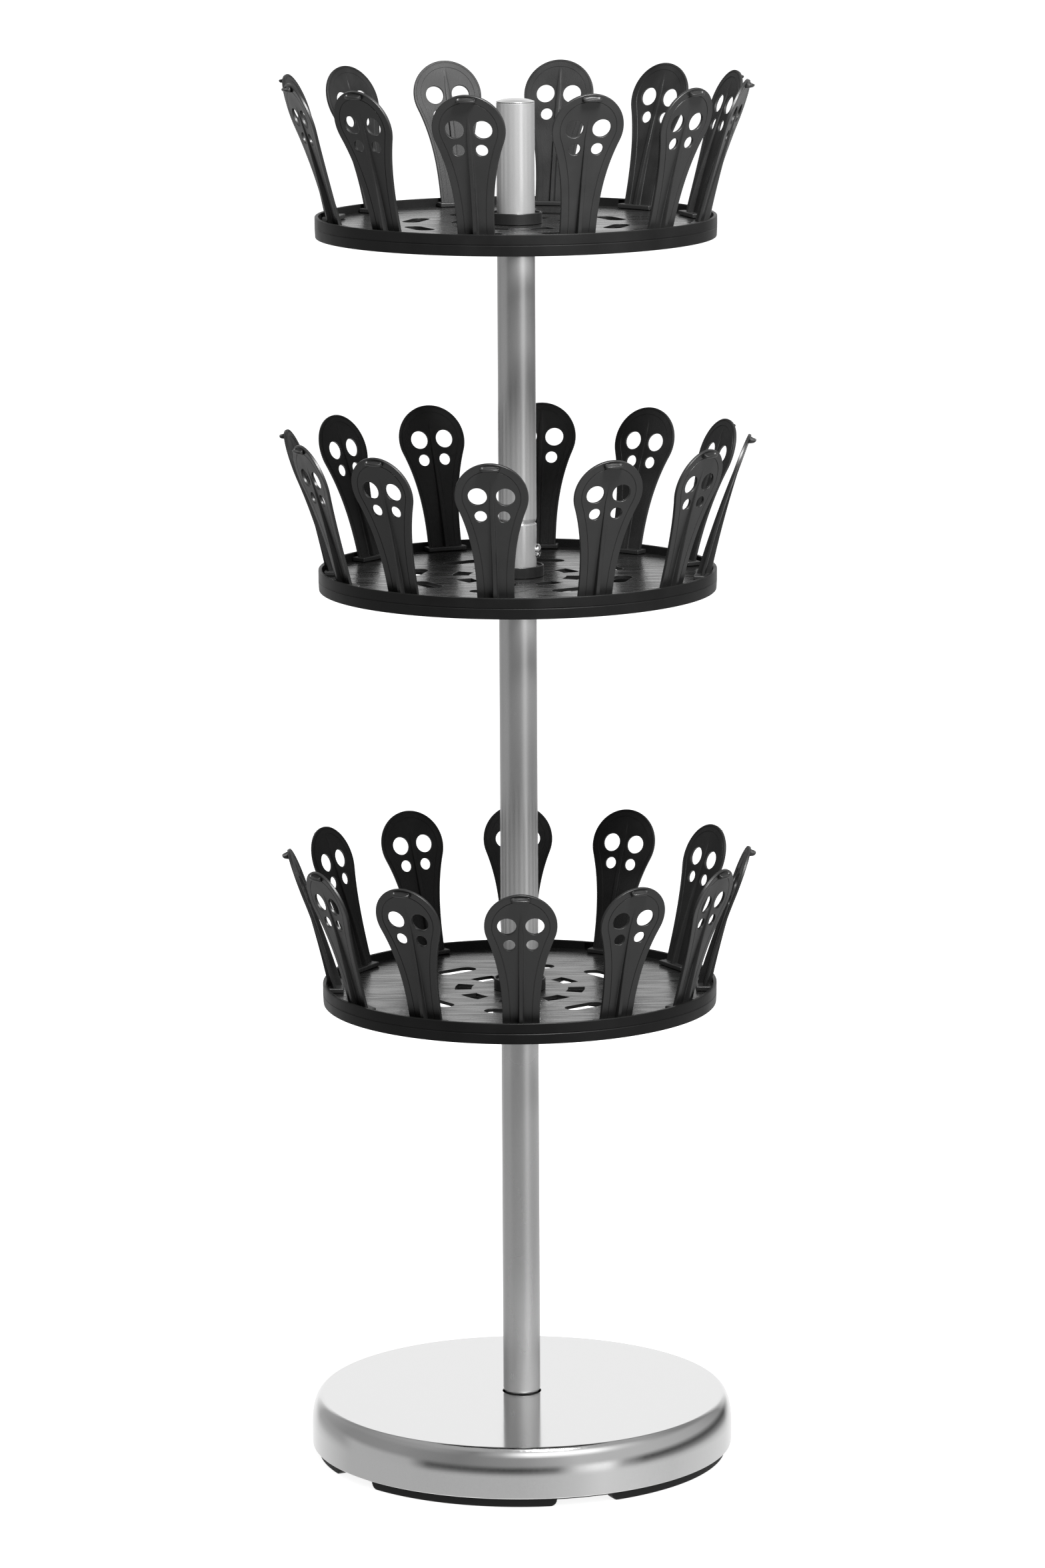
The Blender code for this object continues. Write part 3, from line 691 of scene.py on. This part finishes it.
# ---------------------------------------------------------------- tray and bush
def window_outlines():
    outlines = []
    inner, outer = INNER_WINDOW
    half = radians(INNER_WINDOW_HALF_DEG)
    reach = (SLOT_LENGTH - SLOT_WIDTH) / 2
    slot = arc(SLOT_WIDTH / 2, 0, pi, 14, (0, reach)) + arc(SLOT_WIDTH / 2, pi, 2 * pi, 14, (0, -reach))
    for i in range(WINDOWS):
        angle = 2 * pi * (i + 0.5) / WINDOWS
        outlines.append(arc(outer, angle - half, angle + half, 6) + arc(inner, angle + half, angle - half, 6))
        outlines.append(at_angle(slot, SLOT_RADIUS, angle))
    x, y = TAB_SIZE[0] / 2 + 0.3, TAB_SIZE[1] / 2 + 0.3
    corners = [(-x, -y), (x, -y), (x, y), (-x, y)]
    outlines += [at_angle(corners, ROOT_RADIUS, 2 * pi * i / PADDLES) for i in range(PADDLES)]
    return outlines


def tray_mesh(tray_radius):
    """Floor with its windows, rim with a fine parting line, hub sleeve, and the webs that stiffen it."""
    wall = tray_radius - RIM_THICK
    outlines = [circle(wall + 1.2, 144), circle(HUB_BORE + 1.0, 64)] + window_outlines()
    floor = plate_mesh("tray_floor", outlines, -FLOOR_THICK, 0.0, 0.3)
    section = [
        (tray_radius, RIM_TOP, 0.8),
        (tray_radius, -0.9, 0.0),
        (tray_radius - 0.3, -1.2, 0.0),
        (tray_radius - 0.3, -1.6, 0.0),
        (tray_radius, -1.9, 0.0),
        (tray_radius - 0.35, RIM_BOTTOM, 0.7),
        (wall, RIM_BOTTOM, 0.7),
        (wall, RIM_TOP, 0.8),
    ]
    rim = lathe_mesh("rim", rounded(section, 0.6), 192)
    sleeve = HUB_BORE + HUB_WALL
    section = [(sleeve, -0.6, 0.1), (sleeve, RIM_BOTTOM), (HUB_BORE, RIM_BOTTOM), (HUB_BORE, -0.6, 0.1)]
    hub = lathe_mesh("hub", rounded(section, 0.5), 64)
    high, low = -1.0, -FLOOR_THICK - WEB_DROP
    inner, outer = WEB_RING
    section = [(outer, high), (outer, low), (inner, low), (inner, high)]
    web_ring = lathe_mesh("web_ring", rounded(section, 0.4), 144)
    start, end = sleeve - 0.6, inner + 0.6
    webs = []
    for i in range(WINDOWS):
        web = block_shape(((start + end) / 2, 0, (low + high) / 2), (end - start, WEB_THICK, high - low), 0.3)
        web.transform(Matrix.Rotation(2 * pi * i / WINDOWS, 4, "Z"))
        webs.append(web)
    mesh = combined("tray", floor, [rim, hub, web_ring, gathered("webs", webs)])
    for face in mesh.polygons:
        flat_top = face.normal.z > 0.95 and abs(face.center.z) < 0.2 * MM
        face.material_index = 1 if flat_top else 0
    return mesh


def bush_mesh(low, high):
    """The flanged bush: a lipped collar on the tray, and a sleeve down through its hub."""
    collar, sleeve, bore = 18.6, HUB_BORE - 0.3, 14.05
    profile = [
        (collar, high, 0.7),
        (collar, 0.3, 0.3),
        (sleeve, 0.3, 0.1),
        (sleeve, low, 0.5),
        (bore, low, 0.5),
        (bore, high - 1.4, 0.5),
        (bore + 1.5, high - 1.4, 0.3),
        (collar - 1.5, high - 1.8, 0.3),
        (collar - 1.3, high, 0.6),
    ]
    return lathe_mesh("bush", rounded(profile, 0.4, 4), 96)


def trays():
    tray_radius = (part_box("lower_tray")[1].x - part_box("lower_tray")[0].x) / 2 / MM
    tray, paddle = tray_mesh(tray_radius), paddle_mesh()
    bush_low, bush_high = (corner.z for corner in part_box("lower_hub_bush"))
    bush = bush_mesh((bush_low - floor_height("lower")) / MM, (bush_high - floor_height("lower")) / MM)
    for tier in TIERS:
        body = f"{tier}_tier"
        lift = Matrix.Translation((0, 0, floor_height(tier)))
        turned = lift @ Matrix.Rotation(turn_of(f"{tier}_paddle_01"), 4, "Z")
        show(f"{tier}_tray_shell", tray, body, ("tray", "tray_floor"), [f"{tier}_tray"], turned)
        show(f"{tier}_bush", bush, body, "bush", [f"{tier}_hub_bush"], turned)
        for i in range(PADDLES):
            node = f"{tier}_paddle_{i + 1:02d}"
            spot = lift @ Matrix.Rotation(turn_of(node), 4, "Z")
            look = ("paddle", "paddle_inside")
            show(f"{tier}_holder_{i + 1:02d}", paddle, body, look, [node], spot)


# ---------------------------------------------------------------- pole
def tube(name, node, joint, holes):
    """A pole tube with its button holes. One with a joint is swaged below it, over a short soft shoulder."""
    low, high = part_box(node)
    bottom, top, outer = low.z / MM, high.z / MM, high.x / MM
    inner = outer - TUBE_WALL
    if joint is None:
        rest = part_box("base_cover")[1].z / MM
        across, rise = FOOT_CURL
        angles = [pi / 12 * i for i in range(7)]
        curl = [(outer - across + across * cos(a), rest + 0.1 + rise - rise * sin(a), 0.0) for a in angles]
        drawn_in = across + 0.2
        sleeve = [(outer - drawn_in, bottom), (inner - drawn_in, bottom)]
        inside = [(inner - drawn_in, rest + 1.0), (inner - 0.2, rest + 6.0), (inner, top, 0.3)]
        profile = [(outer, top, TUBE_EDGE), *curl, *sleeve, *inside]
    else:
        shoulder = []
        for i in range(9):
            share = i / 8
            eased = share * share * (3 - 2 * share)
            height = joint + SHOULDER_RISE - SHOULDER_LENGTH * share
            shoulder.append((outer + (SWAGED_RADIUS - outer) * eased, height, 0.0))
        inside = [(radius - TUBE_WALL, height, 0.0) for radius, height, _ in reversed(shoulder)]
        sleeve = [(SWAGED_RADIUS, bottom, 0.4), (SWAGED_RADIUS - TUBE_WALL, bottom, 0.4)]
        profile = [(outer, top, TUBE_EDGE), *shoulder, *sleeve, *inside, (inner, top, 0.3)]
    mesh = lathe_mesh(name, rounded(profile, 0.4), 96)
    cutters = []
    for height in holes:
        cutter = bmesh.new()
        size = {"radius1": BUTTON_HOLE_RADIUS * MM, "radius2": BUTTON_HOLE_RADIUS * MM, "depth": 15 * MM}
        bmesh.ops.create_cone(cutter, cap_ends=True, segments=40, **size)
        cutter.transform(Matrix.Translation((12.5 * MM, 0, height)) @ Matrix.Rotation(pi / 2, 4, "Y"))
        cutters.append(cutter)
    mesh = combined(name, mesh, [gathered("holes", cutters)], "DIFFERENCE")
    show(name, mesh, "root", "pole", [node])


def pole():
    joints = {tier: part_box(f"pole_{tier}_tube")[1].z / MM for tier in JOINTS}
    heights = {tier: sum(corner.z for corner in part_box(f"{tier}_snap_button")) / 2 for tier in JOINTS}
    tube("lower_tube", "pole_lower_tube", None, [heights["lower"]])
    tube("middle_tube", "pole_middle_tube", joints["lower"], [heights["lower"], heights["middle"]])
    tube("upper_tube", "pole_upper_tube", joints["middle"], [heights["middle"]])
    low, high = (corner.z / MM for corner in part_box("pole_cap"))
    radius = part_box("pole_cap")[1].x / MM
    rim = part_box("pole_upper_tube")[1].z / MM + 0.3
    shares = (0.0, 0.15, 0.3, 0.45, 0.6, 0.75, 0.87, 0.95)
    dome = [(radius * share, high - CAP_CROWN * share**2.6) for share in shares]
    edge = [(radius * 0.95, high - 1.84), (radius, rim + 0.6, 0.3), (radius, rim, 0.2), (radius - 1.3, rim)]
    side = rounded(edge, 0.2, 3, False)
    profile = dome + side[1:] + [(radius - 1.3, low), (0.0, low)]
    show("top_cap", lathe_mesh("top_cap", profile, 96, False), "root", "cap", ["pole_cap"])


def buttons():
    """A chrome dome with a bright shoulder ring, turned about the axis it slides on."""
    for tier in JOINTS:
        node = f"{tier}_snap_button"
        low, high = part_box(node)
        tip, back = high.x / MM, low.x / MM
        dome = [(5.0 * sin(a), tip - 2.6 + 2.6 * cos(a)) for a in (pi / 2 * i / 9 for i in range(10))]
        skirt = [(5.0, back + 1.2), (6.2, back + 1.2), (6.2, back), (0.0, back)]
        shape = lathe(dome + skirt, 64, False)
        shape.transform(Matrix.Rotation(pi / 2, 4, "Y"))
        mesh = to_mesh(shape, node)
        lift = Matrix.Translation((0, 0, (low.z + high.z) / 2))
        show(f"{tier}_catch", mesh, f"{tier}_button", "chrome", [node], lift)


def support_rings():
    for tier in TIERS:
        node = f"{tier}_support_ring"
        low, high = (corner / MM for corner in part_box(node))
        bore = 13.8
        profile = [(high.x, high.z, 0.4), (high.x, low.z, 0.8), (bore, low.z, 0.5), (bore, high.z, 0.3)]
        mesh = lathe_mesh(node, rounded(profile, 0.4), 72)
        show(f"{tier}_collar", mesh, "root", "bush", [node])


# ---------------------------------------------------------------- base
def base_cover():
    """The pressed cover: a flat top, a wide soft shoulder, a short side and a curled lip."""
    low, high = (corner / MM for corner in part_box("base_cover"))
    radius, top, foot = high.x, high.z, low.z
    hole, sheet = COVER_HOLE, COVER_SHEET
    steps = 28
    angles = [pi / 2 * (1 - i / steps) for i in range(steps + 1)]
    across, down = SHOULDER_ACROSS, SHOULDER_DOWN
    shoulder, side_top = radius - across, top - down
    flat = [hole + (shoulder - hole) * share for share in (0.15, 0.4, 0.65, 0.85)]
    outer = [(hole + 0.6, top), *[(r, top) for r in flat]]
    outer += [(shoulder + across * cos(a), side_top + down * sin(a)) for a in angles]
    across, down = across - sheet, down - sheet
    inner = [(shoulder + across * cos(a), side_top + down * sin(a)) for a in reversed(angles)]
    edge = [(radius, side_top), (radius, foot, 0.8), (radius - sheet, foot, 0.8), (radius - sheet, side_top)]
    lip = rounded(edge, 0.8, 5, False)
    neck = [(hole, top - sheet), (hole, top - 0.6), (hole + 0.2, top - 0.2)]
    mesh = lathe_mesh("cover", outer + lip[1:-1] + inner + neck, 256)
    show("base_shell", mesh, "root", "base", ["base_cover"])


def underside():
    """The flat plate that closes the base, with raised stiffening rings."""
    low, high = (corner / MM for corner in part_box("base_underside"))
    profile = [(high.x, high.z, 0.3), (high.x, low.z, 0.5)]
    ring = ((5.0, 0.0), (3.5, 0.9), (-3.5, 0.9), (-5.0, 0.0))
    for middle in (118.0, 82.0, 46.0):
        profile += [(middle + across, low.z + up) for across, up in ring]
    profile += [(BOLT_BORE, low.z), (BOLT_BORE, high.z)]
    mesh = lathe_mesh("underplate", rounded(profile, 0.6), 192)
    show("underplate", mesh, "root", "pan", ["base_underside"])


def pad_shape(middle, inner, outer, top):
    """One arc-shaped rubber pad about an angle, with rounded lower edges and ends that curl up."""
    reach, end_radius, edge = PAD_HALF_ANGLE * outer, 4.6, 0.9
    shape = bmesh.new()
    sections = []
    for i in range(41):
        share = sin(pi / 2 * (i / 20 - 1))  # closer together near the two ends
        past = max(abs(share) * reach - (reach - end_radius), 0.0)
        rise = end_radius - sqrt(max(end_radius**2 - past**2, 0.0))
        bottom = min(rise, top - 2.2 * edge)
        side = [(0.0, bottom + edge), (0.3 * edge, bottom + 0.3 * edge), (edge, bottom)]
        section = [(outer, top)] + [(outer - inset, z) for inset, z in side]
        section += [(inner + inset, z) for inset, z in reversed(side)] + [(inner, top)]
        angle = middle + share * PAD_HALF_ANGLE
        c, s = cos(angle), sin(angle)
        sections.append([shape.verts.new(metres(r * c, r * s, z)) for r, z in section])
    for section, further in zip(sections, sections[1:]):
        for j in range(len(section)):
            k = (j + 1) % len(section)
            shape.faces.new([section[j], section[k], further[k], further[j]])
    shape.faces.new(sections[0][::-1])
    shape.faces.new(sections[-1])
    return shape


def feet():
    """Five rubber pads on one thin ring that shows just below the cover's lip."""
    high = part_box("foot_ring")[1] / MM
    inner, outer = PAD_RADII
    left, right, low = inner + 0.3, outer - 0.3, PAD_RING_BOTTOM
    section = [(right, high.z), (right, low), (left, low), (left, high.z)]
    ring = lathe_mesh("pad_ring", rounded(section, 0.5), 192)
    pads = [pad_shape(PAD_FIRST + 2 * pi * i / PADS, inner, outer, high.z - 0.3) for i in range(PADS)]
    mesh = combined("feet", ring, [to_mesh(pad, "pad") for pad in pads])
    show("foot_pads", mesh, "root", "rubber", ["foot_ring"])


def anchor():
    low, high = (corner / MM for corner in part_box("anchor_bolt"))
    across = (high.y - low.y) / 2
    top, edge = low.z + 3.7, low.z + 0.5
    hexagon = [(0.0, top), (across, top), (across, edge), (across * 0.9, low.z), (0.0, low.z)]
    head = lathe(hexagon, 6, False)
    shank = [(0.0, high.z), (2.5, high.z), (3.0, high.z - 0.5), (3.0, low.z + 3.0), (0.0, low.z + 3.0)]
    mesh = combined("bolt", to_mesh(head, "bolt_head"), [lathe_mesh("shank", shank, 32, False)])
    show("base_bolt", mesh, "root", "chrome", ["anchor_bolt"])
    low, high = (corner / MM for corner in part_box("anchor_washer"))
    profile = [(high.x, high.z), (high.x, low.z, 0.3), (BOLT_BORE, low.z, 0.2), (BOLT_BORE, high.z)]
    washer = lathe_mesh("washer", rounded(profile, 0.15), 64)
    show("base_washer", washer, "root", "chrome", ["anchor_washer"])


def carried_over():
    """Hidden inner pieces keep their CAD shape and take a finish."""
    kept = {
        "base_ballast": "iron",
        "pole_foot_plug": "pan",
        "lower_snap_spring": "chrome",
        "middle_snap_spring": "chrome",
    }
    for node, look in kept.items():
        for material_slot in frame["nodes"][node].material_slots:
            material_slot.material = LOOKS[look]


# ---------------------------------------------------------------- studio
def ramp(tree, source, stops):
    """A grey by position along a ramp, from (position 0 to 1, value) stops."""
    node = tree.nodes.new("ShaderNodeValToRGB")
    elements = node.color_ramp.elements
    while len(elements) > 1:
        elements.remove(elements[-1])
    for i, (position, value) in enumerate(stops):
        element = elements[0] if i == 0 else elements.new(position)
        element.position = position
        element.color = (value, value, value, 1.0)
    tree.links.new(source, node.inputs["Fac"])
    return node.outputs["Color"]


def math(tree, operation, first, second=None):
    node = tree.nodes.new("ShaderNodeMath")
    node.operation = operation
    for socket, value in zip(node.inputs, (first, second)):
        if value is None:
            continue
        if isinstance(value, (int, float)):
            socket.default_value = value
        else:
            tree.links.new(value, socket)
    return node.outputs[0]


# brightness by degrees to the right of the front. At the horizon: a bright backdrop behind, a dark front and
# right, a tall softbox right of the front, and a broad soft light on the left. Higher up the backdrop stays,
# and above it a wide softbox leans over the front. The ground nearby is more even.
HORIZON = (
    (-180, 1.05), (-162, 1.00), (-146, 0.44), (-114, 0.38), (-104, 0.52), (-64, 0.50), (-52, 0.10), (0, 0.07),
    (18, 0.16), (31, 0.86), (39, 1.12), (47, 1.12), (56, 0.42), (70, 0.09), (146, 0.10), (162, 1.00),
    (180, 1.05),
)
HIGH = (
    (-180, 1.03), (-160, 1.00), (-144, 0.42), (-112, 0.30), (-73, 0.32), (-35, 0.24), (0, 0.34), (18, 0.46),
    (31, 0.60), (64, 0.58), (89, 0.52), (112, 0.46), (142, 0.30), (162, 1.00), (180, 1.03),
)
OVERHEAD = (
    (-180, 0.28), (-110, 0.34), (-60, 0.38), (-30, 0.24), (-12, 0.50), (4, 1.50), (42, 1.50), (60, 0.80),
    (85, 0.45), (120, 0.28), (180, 0.28),
)
NEAR_GROUND = (
    (-180, 1.00), (-150, 0.80), (-110, 0.52), (-60, 0.52), (-30, 0.54), (0, 0.56), (30, 0.66), (44, 0.78),
    (60, 0.76), (90, 0.68), (150, 0.84), (180, 1.00),
)
CEILING = 0.42
GROUND = 1.40
# how far each of those takes over from the horizon, by degrees above it
HIGH_SHARE = ((-90, 0.0), (-3, 0.0), (4, 1.0), (90, 1.0))
OVERHEAD_SHARE = ((-90, 0.0), (22, 0.0), (34, 1.0), (90, 1.0))
NEAR_GROUND_SHARE = ((-90, 1.0), (-17, 1.0), (-13, 0.80), (-9, 0.25), (-5, 0.0), (90, 0.0))
GROUND_SHARE = ((-90, 1.0), (-62, 1.0), (-42, 0.0), (90, 0.0))
CEILING_SHARE = ((-90, 0.0), (42, 0.0), (56, 1.0), (90, 1.0))
# the key light, a round lamp above the front right, in metres and watts
KEY_PLACE = Vector((0.38, -0.82, 1.80))
KEY_AIM = Vector((0.0, 0.0, 0.95))
KEY_WIDTH = 0.45
KEY_POWER = 60.0


def mixed(tree, share, first, second):
    """Blends two greys by a share from 0 to 1. The second may be a number."""
    node = tree.nodes.new("ShaderNodeMix")
    node.data_type = "RGBA"
    tree.links.new(share, node.inputs["Factor"])
    tree.links.new(first, node.inputs[6])
    if isinstance(second, float):
        node.inputs[7].default_value = (second, second, second, 1.0)
    else:
        tree.links.new(second, node.inputs[7])
    return node.outputs[2]


def world():
    """White to the camera. Light and reflections see a studio: horizon, overhead bank, pale ground."""
    made = bpy.data.worlds.new("studio")
    bpy.context.scene.world = made
    made.use_nodes = True
    tree = made.node_tree
    tree.nodes.clear()
    direction = tree.nodes.new("ShaderNodeTexCoord").outputs["Generated"]
    parts = tree.nodes.new("ShaderNodeSeparateXYZ")
    tree.links.new(direction, parts.inputs[0])
    x, y, z = parts.outputs
    azimuth = math(tree, "ARCTAN2", x, math(tree, "MULTIPLY", y, -1.0))
    place = math(tree, "ADD", math(tree, "DIVIDE", azimuth, 2 * pi), 0.5)
    rise = math(tree, "ADD", math(tree, "DIVIDE", math(tree, "ARCSINE", z), pi), 0.5)
    brightness, high, overhead, near = (
        ramp(tree, place, [((degrees + 180) / 360, value) for degrees, value in stops])
        for stops in (HORIZON, HIGH, OVERHEAD, NEAR_GROUND)
    )
    layers = (
        (high, HIGH_SHARE),
        (overhead, OVERHEAD_SHARE),
        (near, NEAR_GROUND_SHARE),
        (GROUND, GROUND_SHARE),
        (CEILING, CEILING_SHARE),
    )
    for part, shares in layers:
        share = ramp(tree, rise, [((degrees + 90) / 180, value) for degrees, value in shares])
        brightness = mixed(tree, share, brightness, part)
    studio = tree.nodes.new("ShaderNodeBackground")
    tree.links.new(brightness, studio.inputs["Color"])
    plain = tree.nodes.new("ShaderNodeBackground")
    choice = tree.nodes.new("ShaderNodeMixShader")
    tree.links.new(tree.nodes.new("ShaderNodeLightPath").outputs["Is Camera Ray"], choice.inputs[0])
    plain.inputs["Color"].default_value = (1.0, 1.0, 1.0, 1.0)
    tree.links.new(studio.outputs[0], choice.inputs[1])
    tree.links.new(plain.outputs[0], choice.inputs[2])
    output = tree.nodes.new("ShaderNodeOutputWorld")
    tree.links.new(choice.outputs[0], output.inputs["Surface"])


def key_light():
    """A soft lamp above the front right. The top is fully in it, and each tray shades what is below."""
    data = bpy.data.lights.new("key", "AREA")
    data.shape = "DISK"
    data.size = KEY_WIDTH
    data.energy = KEY_POWER
    obj = bpy.data.objects.new("key", data)
    obj.location = KEY_PLACE
    obj.rotation_euler = (KEY_AIM - KEY_PLACE).to_track_quat("-Z", "Y").to_euler()
    bpy.context.scene.collection.objects.link(obj)


def floor():
    """A wide pale floor. Reflections see the studio's even ground in its place."""
    shape = bmesh.new()
    bmesh.ops.create_circle(shape, cap_ends=True, segments=96, radius=60.0)
    obj = bpy.data.objects.new("studio_floor", to_mesh(shape, "studio_floor"))
    bpy.context.scene.collection.objects.link(obj)
    material, shader = finish("floor_paint")
    shader.inputs["Base Color"].default_value = (0.8, 0.8, 0.8, 1.0)
    shader.inputs["Roughness"].default_value = 0.9
    shader.inputs["Specular IOR Level"].default_value = 0.0
    shader.inputs["Emission Color"].default_value = (1.0, 1.0, 1.0, 1.0)
    shader.inputs["Emission Strength"].default_value = 0.86
    obj.data.materials.append(material)
    obj.visible_glossy = False
    obj.visible_diffuse = False
    obj.visible_transmission = False


def camera():
    lens, sensor = 144.79, 36.0
    pitch, yaw, roll = radians(10.698), radians(-0.0475), radians(-0.2892)
    data = bpy.data.cameras.new("camera")
    data.lens = lens
    data.sensor_width = sensor
    forward = Vector((sin(yaw) * cos(pitch), cos(yaw) * cos(pitch), -sin(pitch)))
    right = Vector((cos(yaw), -sin(yaw), 0.0))
    up = right.cross(forward)
    across = right * cos(roll) + up * sin(roll)
    upward = up * cos(roll) - right * sin(roll)
    obj = bpy.data.objects.new("camera", data)
    obj.matrix_world = Matrix.Translation((0.00635, -4.4426, 1.3327)) @ Matrix(
        (across, upward, -forward)
    ).transposed().to_4x4()
    bpy.context.scene.collection.objects.link(obj)
    bpy.context.scene.camera = obj


trays()
pole()
buttons()
support_rings()
base_cover()
underside()
feet()
anchor()
carried_over()
world()
key_light()
floor()
camera()
bpy.context.scene.view_settings.view_transform = "Standard"
